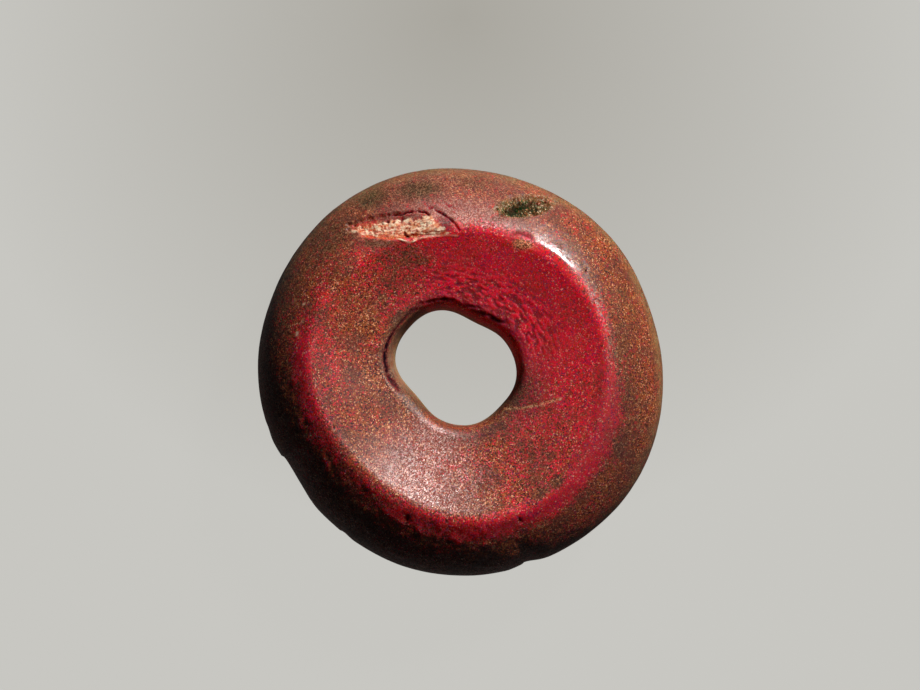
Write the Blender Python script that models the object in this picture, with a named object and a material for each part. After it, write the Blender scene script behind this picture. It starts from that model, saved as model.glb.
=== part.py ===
"""A worn ring of dark red amber lying on its back: one solid, in metres, +Z up, its back at z = 0.

The face is dished between a thick rounded rim and an eye that was bored a little aslant.
Angles are in degrees, anticlockwise from +X, as the face is seen from above.
"""

import math

import bmesh
import bpy
from mathutils import Matrix, Vector

# Main sizes, each a mean round the ring
OUTER_DIAMETER = 0.0421
SHOULDER_DIAMETER = 0.0303
EYE_DIAMETER = 0.0117
THICKNESS = 0.0130

# Rim: the widest line, the slope just outside the shoulder, and how softly the shoulder is worn
GIRTH_HEIGHT = 0.0061
SHOULDER_SLOPE = math.radians(27)
SHOULDER_WEAR = 0.0006

# Face: how far it is dished at the eye, and how much steeper it is at the shoulder
DISH_DEPTH = 0.0025
DISH_CURVE = 1.5

# Eye: narrowest at its waist, wider at both mouths, with worn lips
WAIST_HEIGHT = 0.0052
FRONT_FLARE = 0.00062
BACK_FLARE = 0.0005
FRONT_LIP = 0.0011
BACK_LIP = 0.0013
EYE_LEAN = 0.0004
EYE_LEAN_DIRECTION = 115

# Back: a flat worn ring, which the part lies on
BACK_FLAT_DIAMETER = 0.0302

# What keeps each line from being a true circle, as (lobes round the ring, height, direction)
OUTLINE_LOBES = ((2, 0.00031, 129), (5, 0.00011, 42))
SHOULDER_LOBES = ((2, 0.00044, 146), (3, 0.00038, 45))
EYE_LOBES = (
    (1, 0.00064, 139),
    (2, 0.00057, 143),
    (3, 0.00030, 22),
    (4, 0.00008, 0),
    (5, 0.00008, 34),
    (6, 0.00009, 50),
)

# Places where the rim is knocked in, as (direction, half width, depth)
RIM_DENTS = ((212, 13, 0.00036), (289, 7, 0.00024), (22, 22, 0.00015))

# Chips, as (name, place from the middle, direction of their length, length, width, depth)
CHIPS = (
    ("pale_chip", (-0.0055, 0.0151), 2, 0.0120, 0.0029, 0.0009),
    ("dark_chip", (0.0066, 0.0171), 7, 0.0058, 0.0021, 0.0009),
    ("shoulder_scar", (0.0061, 0.0139), 150, 0.0034, 0.0019, 0.00025),
)
CHIP_RISE = 0.0006
CHIP_RAGGEDNESS = 0.22

# Mesh steps
ROUND_STEPS = 92
WALL_STEPS = 4
LIP_STEPS = 4
DISH_STEPS = 11
RIM_STEPS = 11
UNDER_STEPS = 7
BACK_STEPS = 3
PROBE_STEP = 0.00005

# Amber under a brown weathered skin
AMBER_COLOUR = (0.19, 0.045, 0.035, 1.0)
AMBER_ROUGHNESS = 0.42

OUTER_RADIUS = OUTER_DIAMETER / 2
SHOULDER_RADIUS = SHOULDER_DIAMETER / 2
EYE_RADIUS = EYE_DIAMETER / 2
FRONT_MOUTH_RADIUS = EYE_RADIUS + FRONT_FLARE
BACK_MOUTH_RADIUS = EYE_RADIUS + BACK_FLARE
BACK_FLAT_RADIUS = BACK_FLAT_DIAMETER / 2
# The worn shoulder is a quarter of its wear lower than the corner that the face and rim would make.
CORNER_HEIGHT = THICKNESS + SHOULDER_WEAR / 4


def between(start, end, steps):
    """Evenly spaced values from start up to, but not reaching, end."""
    return [start + (end - start) * step / steps for step in range(steps)]


def curve_point(start, corner, end, share):
    """A point on the curve that leaves start towards the corner and comes from the corner to end."""
    return start.lerp(corner, share).lerp(corner.lerp(end, share), share)


def rounded_corner(start, corner, end, steps):
    return [curve_point(start, corner, end, share) for share in between(0, 1, steps)]


def dish_height(radius):
    """Height of the face at this radius, carried on past the shoulder."""
    inward = (SHOULDER_RADIUS - radius) / (SHOULDER_RADIUS - FRONT_MOUTH_RADIUS)
    return CORNER_HEIGHT - DISH_DEPTH * (1 - max(1 - inward, 0) ** DISH_CURVE)


def rim_point(share):
    """A point of the rim's section, from the shoulder at share 0 to the girth at share 1."""
    start = Vector((SHOULDER_RADIUS, CORNER_HEIGHT))
    fall = math.tan(SHOULDER_SLOPE) * (OUTER_RADIUS - SHOULDER_RADIUS)
    corner = Vector((OUTER_RADIUS, CORNER_HEIGHT - fall))
    end = Vector((OUTER_RADIUS, GIRTH_HEIGHT))
    return curve_point(start, corner, end, share)


def rim_height(radius):
    """Height of the rim at this radius, carried on past the shoulder."""
    out = (radius - SHOULDER_RADIUS) / (OUTER_RADIUS - SHOULDER_RADIUS)
    return rim_point(1 - math.sqrt(max(1 - out, 0))).y


def top_height(radius):
    """Height of the face or the rim, the two run together at the worn shoulder."""
    face, rim = dish_height(radius), rim_height(radius)
    overlap = max(SHOULDER_WEAR - abs(face - rim), 0)
    return min(face, rim) - overlap**2 / (4 * SHOULDER_WEAR)


def wall_point(height):
    """A point of the eye's wall, in the section: radius and height."""
    if height > WAIST_HEIGHT:
        flare, reach = FRONT_FLARE, dish_height(FRONT_MOUTH_RADIUS) - WAIST_HEIGHT
    else:
        flare, reach = BACK_FLARE, WAIST_HEIGHT
    return Vector((EYE_RADIUS + flare * ((height - WAIST_HEIGHT) / reach) ** 2, height))


def section():
    """The closed section, once round from the eye's waist up and over the face."""
    mouth_height = dish_height(FRONT_MOUTH_RADIUS)
    points = [wall_point(z) for z in between(WAIST_HEIGHT, mouth_height - FRONT_LIP, WALL_STEPS)]

    lip_end = FRONT_MOUTH_RADIUS + FRONT_LIP
    points += rounded_corner(
        wall_point(mouth_height - FRONT_LIP),
        Vector((FRONT_MOUTH_RADIUS, mouth_height)),
        Vector((lip_end, top_height(lip_end))),
        LIP_STEPS,
    )

    for share in between(0, 1, DISH_STEPS):
        radius = lip_end + (SHOULDER_RADIUS - lip_end) * math.sin(share * math.pi / 2)
        points.append(Vector((radius, top_height(radius))))

    for share in between(0, 1, RIM_STEPS):
        radius = rim_point(share).x
        points.append(Vector((radius, top_height(radius))))

    for turn in between(0, math.pi / 2, UNDER_STEPS):
        radius = BACK_FLAT_RADIUS + (OUTER_RADIUS - BACK_FLAT_RADIUS) * math.cos(turn)
        points.append(Vector((radius, GIRTH_HEIGHT * (1 - math.sin(turn)))))

    flat_end = BACK_MOUTH_RADIUS + BACK_LIP
    points += [Vector((radius, 0)) for radius in between(BACK_FLAT_RADIUS, flat_end, BACK_STEPS)]
    points += rounded_corner(
        Vector((flat_end, 0)), Vector((BACK_MOUTH_RADIUS, 0)), wall_point(BACK_LIP), LIP_STEPS
    )
    points += [wall_point(z) for z in between(BACK_LIP, WAIST_HEIGHT, WALL_STEPS)]
    return points


def lobes_at(lobes, angle):
    return sum(
        height * math.cos(count * (angle - math.radians(direction)))
        for count, height, direction in lobes
    )


def dents_at(angle):
    """How far the rim is knocked in at this angle."""
    total = 0
    for direction, half_width, depth in RIM_DENTS:
        away = math.remainder(angle - math.radians(direction), math.tau) / math.radians(half_width)
        if abs(away) < 1:
            total += depth * (1 + math.cos(math.pi * away)) / 2
    return total


def shift_at(angle, radius, height):
    """How far outwards a point of the round section moves at this angle."""
    lean = EYE_LEAN * (height - WAIST_HEIGHT) / (THICKNESS - WAIST_HEIGHT)
    eye = lobes_at(EYE_LOBES, angle) + lean * math.cos(angle - math.radians(EYE_LEAN_DIRECTION))
    shoulder = lobes_at(SHOULDER_LOBES, angle)
    rim = lobes_at(OUTLINE_LOBES, angle) - dents_at(angle)
    if radius < SHOULDER_RADIUS:
        out = max((radius - EYE_RADIUS) / (SHOULDER_RADIUS - EYE_RADIUS), 0)
        return eye + (shoulder - eye) * out
    out = (radius - SHOULDER_RADIUS) / (OUTER_RADIUS - SHOULDER_RADIUS)
    return shoulder + (rim - shoulder) * out


def outline_middle():
    """The middle of the box round the outline, which the part is centred on."""
    across, along = [], []
    for step in range(ROUND_STEPS):
        angle = math.tau * step / ROUND_STEPS
        radius = OUTER_RADIUS + shift_at(angle, OUTER_RADIUS, GIRTH_HEIGHT)
        across.append(radius * math.cos(angle))
        along.append(radius * math.sin(angle))
    return Vector((max(across) + min(across), max(along) + min(along), 0)) / 2


def top_point(x, y):
    """The point of the upper surface over this place."""
    angle, radius = math.atan2(y, x), math.hypot(x, y)
    round_radius = radius
    for _ in range(4):
        round_radius = radius - shift_at(angle, round_radius, top_height(round_radius))
    return Vector((x, y, top_height(round_radius)))


def chip_point(place, direction, along, across, rise):
    """A point given along and across a chip and above or below the surface there."""
    length_way = Vector((math.cos(direction), math.sin(direction)))
    cross_way = Vector((-length_way.y, length_way.x))
    spot = Vector(place) + length_way * along + cross_way * across
    point = top_point(*spot)
    slope_x = top_point(spot.x + PROBE_STEP, spot.y).z - point.z
    slope_y = top_point(spot.x, spot.y + PROBE_STEP).z - point.z
    outward = Vector((-slope_x, -slope_y, PROBE_STEP)).normalized()
    return point + outward * rise


def amber():
    material = bpy.data.materials.new("amber")
    material.use_nodes = True
    shader = material.node_tree.nodes["Principled BSDF"]
    shader.inputs["Base Color"].default_value = AMBER_COLOUR
    shader.inputs["Roughness"].default_value = AMBER_ROUGHNESS
    shader.inputs["Metallic"].default_value = 0.0
    material.diffuse_color = AMBER_COLOUR
    return material


def new_object(name, bm):
    mesh = bpy.data.meshes.new(name)
    bm.to_mesh(mesh)
    bm.free()
    thing = bpy.data.objects.new(name, mesh)
    bpy.context.scene.collection.objects.link(thing)
    return thing


def make_ring():
    """The section is spun round the eye, then pushed in and out to the worn, uneven form."""
    bm = bmesh.new()
    corners = [bm.verts.new((point.x, 0, point.y)) for point in section()]
    edges = [bm.edges.new(pair) for pair in zip(corners, corners[1:] + corners[:1])]
    bmesh.ops.spin(
        bm, geom=edges, cent=(0, 0, 0), axis=(0, 0, 1), angle=math.tau, steps=ROUND_STEPS, use_merge=True
    )
    middle = outline_middle()
    for vertex in bm.verts:
        angle, radius = math.atan2(vertex.co.y, vertex.co.x), math.hypot(vertex.co.x, vertex.co.y)
        way = Vector((math.cos(angle), math.sin(angle), 0))
        vertex.co += way * shift_at(angle, radius, vertex.co.z) - middle
    bmesh.ops.recalc_face_normals(bm, faces=bm.faces)
    ring = new_object("ring", bm)
    ring.data.materials.append(amber())
    ring.data.shade_smooth()
    return ring


def make_chip(name, place, direction, length, width, depth):
    """A cutter with pointed ends and ragged sides, laid along the surface that it cuts."""
    bm = bmesh.new()
    bmesh.ops.create_icosphere(bm, subdivisions=2, radius=1.0, matrix=Matrix.Identity(4))
    middle = outline_middle()
    for vertex in bm.verts:
        x, y, z = vertex.co
        ragged = 1 + CHIP_RAGGEDNESS * math.sin(9 * x + 4 * y) * math.cos(5 * x - 3 * z)
        along = x * length / 2
        across = y * width / 2 * ragged
        rise = z * (CHIP_RISE if z > 0 else depth * ragged)
        vertex.co = chip_point(place, math.radians(direction), along, across, rise) - middle
    cutter = new_object(name, bm)
    cutter.hide_render = True
    cutter.display_type = "WIRE"
    return cutter


def main():
    for thing in list(bpy.data.objects):
        bpy.data.objects.remove(thing)
    ring = make_ring()
    for chip in CHIPS:
        cut = ring.modifiers.new(chip[0], "BOOLEAN")
        cut.operation = "DIFFERENCE"
        cut.solver = "EXACT"
        cut.object = make_chip(*chip)


main()
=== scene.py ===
"""Looks of a worn ring bead of dark red amber, lying on its flat back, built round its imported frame.

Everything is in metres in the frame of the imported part. Angles are in degrees, anticlockwise from +X,
as the face is seen from above.
"""

import math

import bmesh
import bpy
import numpy as np
from bpy.props import FloatProperty, FloatVectorProperty, PointerProperty
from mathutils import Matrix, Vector, noise


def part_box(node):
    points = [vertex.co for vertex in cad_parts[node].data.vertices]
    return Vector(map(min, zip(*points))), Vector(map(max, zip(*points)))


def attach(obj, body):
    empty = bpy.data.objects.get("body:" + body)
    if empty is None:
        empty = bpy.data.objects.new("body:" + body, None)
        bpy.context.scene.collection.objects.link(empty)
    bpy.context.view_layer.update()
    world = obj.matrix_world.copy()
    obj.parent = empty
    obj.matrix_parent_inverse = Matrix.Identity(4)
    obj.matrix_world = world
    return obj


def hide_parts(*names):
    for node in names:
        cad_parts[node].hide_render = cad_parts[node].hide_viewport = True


bl_info = {
    "name": "Worn amber ring",
    "version": (1, 0, 0),
    "blender": (4, 5, 0),
    "location": "3D View > Sidebar > Amber ring",
    "description": "Makes a worn amber ring bead and the stage that it lies on",
    "category": "Object",
}

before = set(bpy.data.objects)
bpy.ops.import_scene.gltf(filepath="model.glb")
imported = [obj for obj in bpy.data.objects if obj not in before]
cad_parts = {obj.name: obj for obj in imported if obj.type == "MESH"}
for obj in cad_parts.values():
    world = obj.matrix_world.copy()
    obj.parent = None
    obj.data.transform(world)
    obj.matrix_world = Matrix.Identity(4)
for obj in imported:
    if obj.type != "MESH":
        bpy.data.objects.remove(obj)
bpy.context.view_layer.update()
RING_LOW, RING_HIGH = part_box("ring")
MM = 0.001

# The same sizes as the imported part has, each a mean round the ring
OUTER_DIAMETER = 0.0421
SHOULDER_DIAMETER = 0.0303
EYE_DIAMETER = 0.0117
THICKNESS = RING_HIGH.z - RING_LOW.z
GIRTH_HEIGHT = 0.0061
SHOULDER_SLOPE = math.radians(27)
SHOULDER_WEAR = 0.0006
DISH_DEPTH = 0.0025
DISH_CURVE = 1.5
WAIST_HEIGHT = 0.0052
FRONT_FLARE = 0.00062
BACK_FLARE = 0.0005
FRONT_LIP = 0.0011
BACK_LIP = 0.0013
EYE_LEAN = 0.0004
EYE_LEAN_DIRECTION = 115
BACK_FLAT_DIAMETER = 0.0302

# What keeps each line from being a true circle, as (lobes round the ring, height, direction)
OUTLINE_LOBES = ((2, 0.00031, 129), (5, 0.00011, 42))
SHOULDER_LOBES = ((2, 0.00044, 146), (3, 0.00038, 45))
EYE_LOBES = (
    (1, 0.00064, 139),
    (2, 0.00057, 143),
    (3, 0.00030, 22),
    (4, 0.00008, 0),
    (5, 0.00008, 34),
    (6, 0.00009, 50),
)

# Places where the rim is knocked in, as (direction, half width, depth)
RIM_DENTS = ((212, 13, 0.00036), (289, 7, 0.00024), (22, 22, 0.00015))

# Mesh steps round the ring and along each stretch of its section
ROUND_STEPS = 432
WALL_STEPS = 12
FRONT_LIP_STEPS = 9
DISH_STEPS = 40
RIM_STEPS = 38
UNDER_STEPS = 14
BACK_STEPS = 7
BACK_LIP_STEPS = 6

# Chips, as (place from the middle, direction of their length, length, width, depth)
PALE_CHIP = ((-0.0055, 0.0151), 2, 0.0120, 0.0029, 0.0009)
DARK_CHIP = ((0.0066, 0.0171), 7, 0.0058, 0.0021, 0.0009)

# The skin's grains are about 0.05 mm, and drawn at this size in mm, the finest that shows in the render
GRAIN_SIZE = 0.11
GRAIN_EDGE = 0.03
AMBER_IOR = 1.54

# How far red, green and blue light go in clear red amber, as shares of the length below
LIGHT_REACH = (1.0, 0.08, 0.07)
LIGHT_DEPTH = 0.0015

# The floor is a little darker round a place above the ring in the view
SHADE_PLACE = 0.037
SHADE_REACH = 0.054
FLOOR_FLAT = 0.9
FLOOR_SWEEP = 0.6
FLOOR_STEPS = 64
FLOOR_GLOW = 0.99

# Strength of the light that comes from below and from above the horizon
FLOOR_BOUNCE = 0.075
SKY_FILL = 0.006

# The key light's direction, how far it is off straight overhead, and its distance
KEY_DIRECTION = 52.5
KEY_TILT = 54
KEY_DISTANCE = 0.6

# A long lens, in millimetres, as the photo shows no perspective, and the middle of its view
LENS = 300
SENSOR_WIDTH = 36
VIEW_MIDDLE = (-0.00005, 0.0028)


def linear(hex_colour, alpha=1.0):
    """An sRGB hex colour as linear red, green, blue and alpha."""
    parts = [int(hex_colour[start : start + 2], 16) / 255 for start in (1, 3, 5)]
    return tuple(c / 12.92 if c <= 0.04045 else ((c + 0.055) / 1.055) ** 2.4 for c in parts) + (alpha,)


def colour_prop(name, hex_colour, description):
    return FloatVectorProperty(
        name=name, description=description, subtype="COLOR", size=4, min=0, max=1, default=linear(hex_colour)
    )


def length_prop(name, metres, description):
    return FloatProperty(name=name, description=description, unit="LENGTH", precision=5, default=metres)


class RingSettings(bpy.types.PropertyGroup):
    """Sizes and colours of the amber ring."""

    outer: length_prop("Outer width", OUTER_DIAMETER, "Mean width over the rim")
    shoulder: length_prop("Shoulder width", SHOULDER_DIAMETER, "Mean width of the ridge round the face")
    eye: length_prop("Eye width", EYE_DIAMETER, "Mean width of the eye at its waist")
    thickness: length_prop("Thickness", THICKNESS, "Height of the ridge above the flat back")
    relief: FloatProperty(
        name="Relief", description="How strong the fine wear is", min=0, max=2, default=1.0
    )
    amber: colour_prop("Amber", "#FF1642", "Clear red amber under the skin")
    crust: colour_prop("Skin", "#9A4A20", "Ochre weathered skin")
    umber: colour_prop("Dark skin", "#361C16", "Brown and olive patches of the skin")
    break_pale: colour_prop("Fresh break", "#FFE0BC", "Pale crumbly amber in the large chip")


class StageSettings(bpy.types.PropertyGroup):
    """Floor, light and width of the view."""

    floor: colour_prop("Floor", "#C8C7C2", "Plain pale floor")
    floor_shade: colour_prop("Floor shade", "#A9A69E", "The floor where it is darkest")
    key_power: FloatProperty(name="Key light", description="Power of the key light in watts", default=4.9)
    key_width: length_prop("Key width", 0.10, "Width of the square key light")
    view_width: length_prop("View width", 0.0954, "Width of the view at the ring's girth")


class RingShape:
    """The round section of the ring and how far it is worn out of round."""

    def __init__(self, settings):
        self.outer = settings.outer / 2
        self.shoulder = settings.shoulder / 2
        self.eye = settings.eye / 2
        self.thickness = settings.thickness
        self.front_mouth = self.eye + FRONT_FLARE
        self.back_mouth = self.eye + BACK_FLARE
        self.lip_end = self.front_mouth + FRONT_LIP
        self.corner_height = self.thickness + SHOULDER_WEAR / 4

    def dish_height(self, radius):
        """Height of the face at this radius, carried on past the shoulder."""
        inward = (self.shoulder - radius) / (self.shoulder - self.front_mouth)
        return self.corner_height - DISH_DEPTH * (1 - np.maximum(1 - inward, 0) ** DISH_CURVE)

    def rim_point(self, share):
        """A point of the rim's section, from the shoulder at share 0 to the girth at share 1."""
        width = self.outer - self.shoulder
        corner_height = self.corner_height - math.tan(SHOULDER_SLOPE) * width
        start, corner, end = self.corner_height, corner_height, GIRTH_HEIGHT
        radius = self.shoulder + width * share * (2 - share)
        height = start * (1 - share) ** 2 + 2 * corner * share * (1 - share) + end * share**2
        return radius, height

    def rim_height(self, radius):
        out = (radius - self.shoulder) / (self.outer - self.shoulder)
        return self.rim_point(1 - np.sqrt(np.maximum(1 - out, 0)))[1]

    def top_height(self, radius):
        """Height of the face or the rim, the two run together at the worn shoulder."""
        face, rim = self.dish_height(radius), self.rim_height(radius)
        overlap = np.maximum(SHOULDER_WEAR - np.abs(face - rim), 0)
        return np.minimum(face, rim) - overlap**2 / (4 * SHOULDER_WEAR)

    def wall_radius(self, height):
        if height > WAIST_HEIGHT:
            flare, reach = FRONT_FLARE, float(self.dish_height(self.front_mouth)) - WAIST_HEIGHT
        else:
            flare, reach = BACK_FLARE, WAIST_HEIGHT
        return self.eye + flare * ((height - WAIST_HEIGHT) / reach) ** 2

    def section(self):
        """The closed section, once round from the eye's waist up and over the face."""
        mouth_height = float(self.dish_height(self.front_mouth))
        lip_start = mouth_height - FRONT_LIP
        points = [(self.wall_radius(z), z) for z in between(WAIST_HEIGHT, lip_start, WALL_STEPS)]
        points += rounded_corner(
            (self.wall_radius(lip_start), lip_start),
            (self.front_mouth, mouth_height),
            (self.lip_end, float(self.top_height(self.lip_end))),
            FRONT_LIP_STEPS,
        )
        for share in between(0, 1, DISH_STEPS):
            radius = self.lip_end + (self.shoulder - self.lip_end) * share
            points.append((radius, float(self.top_height(radius))))
        for share in between(0, 1, RIM_STEPS):
            radius = self.rim_point(share)[0]
            points.append((radius, float(self.top_height(radius))))
        back_flat = BACK_FLAT_DIAMETER / 2
        for turn in between(0, math.pi / 2, UNDER_STEPS):
            radius = back_flat + (self.outer - back_flat) * math.cos(turn)
            points.append((radius, GIRTH_HEIGHT * (1 - math.sin(turn))))
        flat_end = self.back_mouth + BACK_LIP
        points += [(radius, 0) for radius in between(back_flat, flat_end, BACK_STEPS)]
        points += rounded_corner(
            (flat_end, 0), (self.back_mouth, 0), (self.wall_radius(BACK_LIP), BACK_LIP), BACK_LIP_STEPS
        )
        points += [(self.wall_radius(z), z) for z in between(BACK_LIP, WAIST_HEIGHT, WALL_STEPS)]
        return points

    def shift_at(self, angle, radius, height):
        """How far outwards a point of the round section moves at this angle."""
        lean = EYE_LEAN * (height - WAIST_HEIGHT) / (self.thickness - WAIST_HEIGHT)
        eye = lobes_at(EYE_LOBES, angle) + lean * np.cos(angle - math.radians(EYE_LEAN_DIRECTION))
        shoulder = lobes_at(SHOULDER_LOBES, angle)
        rim = lobes_at(OUTLINE_LOBES, angle) - dents_at(angle)
        face_out = np.maximum((radius - self.eye) / (self.shoulder - self.eye), 0)
        rim_out = (radius - self.shoulder) / (self.outer - self.shoulder)
        face_shift = eye + (shoulder - eye) * face_out
        return np.where(radius < self.shoulder, face_shift, shoulder + (rim - shoulder) * rim_out)

    def outline_middle(self):
        """The middle of the box round the outline, which the part is centred on."""
        angle = np.linspace(0, math.tau, ROUND_STEPS, endpoint=False)
        radius = self.outer + self.shift_at(angle, np.full(ROUND_STEPS, self.outer), GIRTH_HEIGHT)
        across, along = radius * np.cos(angle), radius * np.sin(angle)
        return np.array([across.max() + across.min(), along.max() + along.min(), 0]) / 2


def between(start, end, steps):
    """Evenly spaced values from start up to, but not reaching, end."""
    return [start + (end - start) * step / steps for step in range(steps)]


def rounded_corner(start, corner, end, steps):
    """Points of the curve that leaves start towards the corner and comes from the corner to end."""
    points = []
    for share in between(0, 1, steps):
        pull = ((1 - share) ** 2, 2 * share * (1 - share), share**2)
        points.append(tuple(pull[0] * a + pull[1] * b + pull[2] * c for a, b, c in zip(start, corner, end)))
    return points


def lobes_at(lobes, angle):
    return sum(
        height * np.cos(count * (angle - math.radians(direction))) for count, height, direction in lobes
    )


def turn_from(angle, direction):
    """Signed turn in degrees from a direction in degrees to each angle in radians."""
    return (np.degrees(angle) - direction + 180) % 360 - 180


def dents_at(angle):
    """How far the rim is knocked in at each angle."""
    total = np.zeros_like(angle)
    for direction, half_width, depth in RIM_DENTS:
        away = np.clip(turn_from(angle, direction) / half_width, -1, 1)
        total += depth * (1 + np.cos(math.pi * away)) / 2
    return total


def ramp(values, low, high):
    """0 below low, 1 above high and a soft step between."""
    share = np.clip((values - low) / (high - low), 0, 1)
    return share * share * (3 - 2 * share)


def sector(angle, direction, full, reach):
    """1 within full degrees of a direction, falling softly to 0 at reach degrees from it."""
    return 1 - ramp(np.abs(turn_from(angle, direction)), full, reach)


def hump(values, middle, half_width):
    """1 at the middle, falling softly to 0 a half width away."""
    return 1 - ramp(np.abs(values - middle), 0, half_width)


def lumps(points, size, seed, octaves=2):
    """Smooth noise from about -1 to 1 at each point, its lumps about this size across."""
    offset = Vector((seed * 17.3, seed * -9.1, seed * 5.7))
    values = [noise.fractal(Vector(point) / size + offset, 1.0, 2.0, octaves) for point in points]
    return np.array(values)


def cell_edges(points, size, seed):
    """For each point, how far it is from the edge of its cell: 0 on the edge, about 1 in the middle."""
    offset = Vector((seed * 3.1, seed * 7.7, seed * -4.9))
    found = []
    for point in points:
        distances = noise.voronoi(Vector(point) / size + offset)[0]
        found.append(distances[1] - distances[0])
    return np.array(found)


def chip_share(points, chip):
    """For each point, how deep in the chip it is: 1 in the middle, 0 at its edge, below 0 outside."""
    (x, y), direction, length, width, _ = chip
    turn = math.radians(direction)
    dx, dy = points[:, 0] - x, points[:, 1] - y
    along = (dx * math.cos(turn) + dy * math.sin(turn)) / (length / 2)
    across = (dy * math.cos(turn) - dx * math.sin(turn)) / (width / 2)
    return 1 - np.hypot(along, across)


def stroke_distance(points, line):
    """Distance in plan from each point to a line of (x, y) in millimetres, and the share along it."""
    line = np.array(line) * MM
    steps = len(line) - 1
    nearest, share = np.full(len(points), np.inf), np.zeros(len(points))
    for index, (start, end) in enumerate(zip(line, line[1:])):
        way = end - start
        place = np.clip((points[:, :2] - start) @ way / (way @ way), 0, 1)
        distance = np.linalg.norm(points[:, :2] - start - place[:, None] * way, axis=1)
        closer = distance < nearest
        nearest[closer] = distance[closer]
        share[closer] = (index + place[closer]) / steps
    return nearest, share


# The large chip: crumbs as (x, y, half length, half width, height), all in millimetres
PALE_CRUMBS = (
    (-11.7, 14.4, 0.55, 0.16, 0.06),
    (-10.9, 14.6, 0.44, 0.30, 0.14),
    (-10.0, 14.6, 0.42, 0.28, 0.22),
    (-9.2, 14.6, 0.50, 0.20, 0.22),
    (-10.5, 15.0, 0.20, 0.26, 0.16),
    (-9.8, 15.1, 0.20, 0.32, 0.20),
    (-9.1, 15.2, 0.26, 0.28, 0.22),
    (-8.1, 15.0, 0.66, 0.56, 0.42),
    (-6.8, 15.3, 0.62, 0.56, 0.48),
    (-7.3, 14.7, 0.90, 0.24, 0.34),
    (-5.6, 15.4, 0.62, 0.48, 0.50),
    (-4.9, 14.9, 1.10, 0.58, 0.60),
    (-3.7, 15.5, 0.90, 0.46, 0.56),
    (-3.5, 14.7, 1.35, 0.64, 0.62),
    (-2.5, 14.7, 0.70, 0.40, 0.42),
    (-1.4, 14.3, 0.30, 0.14, 0.16),
)

# The bed that the crumbs lie on
PALE_BED = ((-8.6, 14.7), (-6.5, 14.9), (-4.0, 15.0), (-2.6, 14.6))

# Where the thin layers lie in arcs: (x, y, half length, half width, turn), lengths in millimetres
LAYER_ARCS = ((-3.6, 15.3, 1.25, 0.45, 4), (-7.1, 15.2, 0.9, 0.4, 4))

# The broken lip along the lower side of the large chip, and the slanting crack that the chip ends at
PALE_LIP = ((-6.5, 13.8), (-5.2, 13.3), (-4.5, 13.65), (-3.2, 13.95), (-1.5, 14.1), (-0.3, 14.0))
CHIP_END = ((-3.6, 16.6), (-0.6, 13.9))

# Grooves in the upper surface: (half width, depth, darkness of the shade painted in them, line), all but
# darkness in millimetres
GROOVES = (
    (0.16, 0.36, 1.0, ((-7.9, 16.3), (-6.3, 16.2), (-5.5, 16.5), (-4.4, 16.6), (-3.6, 16.5), (-3.1, 16.1))),
    (0.18, 0.26, 0.8, ((-3.9, 17.5), (-3.1, 17.0), (-1.9, 16.4), (-1.1, 15.8), (-0.6, 15.3), (-0.1, 14.4))),
    (0.12, 0.16, 0.7, ((-1.8, 17.6), (-1.1, 17.15), (-0.5, 16.8))),
    (0.18, 0.20, 0.9, ((-5.8, 14.3), (-5.5, 14.0), (-5.2, 13.8))),
    (0.16, 0.14, 0.6, ((-6.0, 16.1), (-6.0, 15.7), (-6.3, 15.2))),
    (0.12, 0.12, 0.6, ((-4.3, 15.15), (-3.6, 15.4), (-2.9, 15.25))),
    (0.44, 0.14, 1.0, ((3.8, 16.2), (5.0, 16.5), (6.2, 16.95), (7.3, 17.3), (8.7, 17.5))),
    (0.18, 0.12, 0.9, ((5.9, 17.9), (6.05, 17.5), (6.2, 17.1))),
    (0.24, 0.12, 0.6, ((6.1, 16.4), (7.0, 16.45), (7.9, 16.3))),
    (0.14, 0.12, 0.9, ((7.8, 17.35), (8.6, 17.5), (9.4, 17.7))),
    (0.26, 0.12, 0.75, ((5.0, 13.9), (5.6, 14.3), (6.4, 14.35), (7.1, 14.05), (7.5, 13.5))),
    (
        0.42,
        0.22,
        1.0,
        ((-4.0, 7.3), (-5.7, 5.2), (-7.3, 3.3), (-7.7, 1.8), (-7.5, -0.1), (-6.6, -1.5), (-5.9, -2.2)),
    ),
    (0.24, 0.10, 0.85, ((-4.1, 7.0), (-3.0, 7.3), (-1.5, 7.5), (-0.4, 7.3))),
    (0.24, 0.08, 0.7, ((0.2, 6.95), (1.2, 6.75), (2.1, 6.5))),
    (0.32, 0.10, 0.9, ((0.9, 6.4), (2.9, 5.8), (4.0, 5.2), (5.0, 5.15))),
    (0.22, 0.08, 0.6, ((4.3, 4.1), (5.0, 3.7), (5.7, 3.0))),
)

# Fine scratches that show paler: (half width, depth, paleness, line), all but paleness in millimetres
SCRATCHES = (
    (0.20, 0.05, 1.0, ((4.7, -3.75), (6.4, -3.7), (8.0, -3.35), (10.0, -2.8))),
    (0.10, 0.03, 0.3, ((5.6, -4.4), (6.5, -5.9), (7.2, -7.5))),
    (0.12, 0.03, 0.5, ((-7.9, 7.9), (-9.2, 6.7), (-10.6, 5.2))),
    (0.12, 0.03, 0.4, ((-7.0, 7.2), (-8.6, 6.3), (-9.6, 5.0))),
    (0.12, 0.03, 0.4, ((-10.6, 1.2), (-9.6, -0.3), (-8.4, -1.7))),
)

# Pale crumbs stuck to the skin: (x, y, radius), all in millimetres
CRUMBS = (
    (-16.8, 3.9, 0.28),
    (-16.2, 5.3, 0.18),
    (-16.1, 7.0, 0.18),
    (10.2, -2.75, 0.22),
    (8.1, -15.9, 0.14),
    (13.0, 8.9, 0.13),
    (-7.0, -1.9, 0.16),
    (-6.1, -2.7, 0.14),
)
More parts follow.
